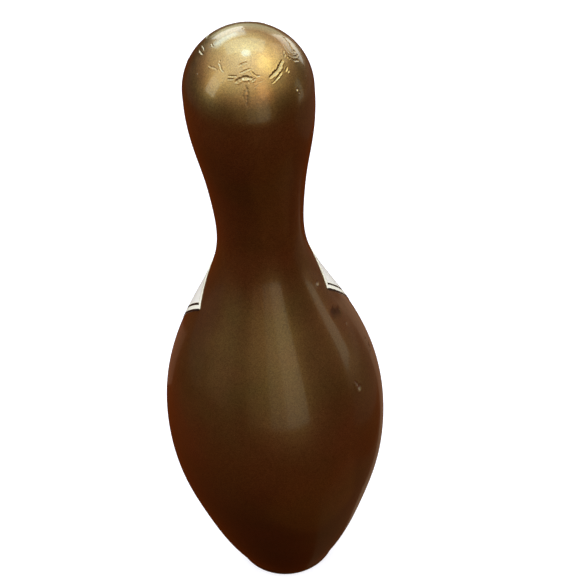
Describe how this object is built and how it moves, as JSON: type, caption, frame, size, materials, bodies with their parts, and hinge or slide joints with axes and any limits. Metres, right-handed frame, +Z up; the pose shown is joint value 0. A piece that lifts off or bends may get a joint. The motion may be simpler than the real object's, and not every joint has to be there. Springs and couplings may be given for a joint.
{
  "type": "bowling pin",
  "caption": "Regulation league bowling pin: laminated maple billet in a moulded plastic coat with dark bronze paint, nylon base ring and a plain wrap-round shoulder label.",
  "frame": {"origin": "centre of the flat that the pin stands on", "axes": "+Z up along the pin's axis, towards its head; +Y through the middle of the shoulder label; -Y is the plain side"},
  "size_m": [0.1212, 0.1212, 0.381],
  "materials": {
    "bronze_paint": "dark bronze metallic paint on plastic, under clear gloss, scuffed and dented on the head",
    "nylon": "moulded nylon, satin, scuffed where it stands",
    "label_film": "printed white film with dark keylines, under clear gloss",
    "maple": "hard maple, turned, with glue lines between boards"
  },
  "bodies": {
    "root": {"plastic_coat": "bronze_paint", "base_ring": "nylon", "shoulder_label": "label_film", "core_board_1": "maple", "core_board_2": "maple", "core_board_3": "maple", "core_board_4": "maple", "left_inner_wing": "maple", "left_outer_wing": "maple", "right_inner_wing": "maple", "right_outer_wing": "maple", "front_inner_wing": "maple", "front_outer_wing": "maple", "rear_inner_wing": "maple", "rear_outer_wing": "maple"}
  },
  "joints": []
}
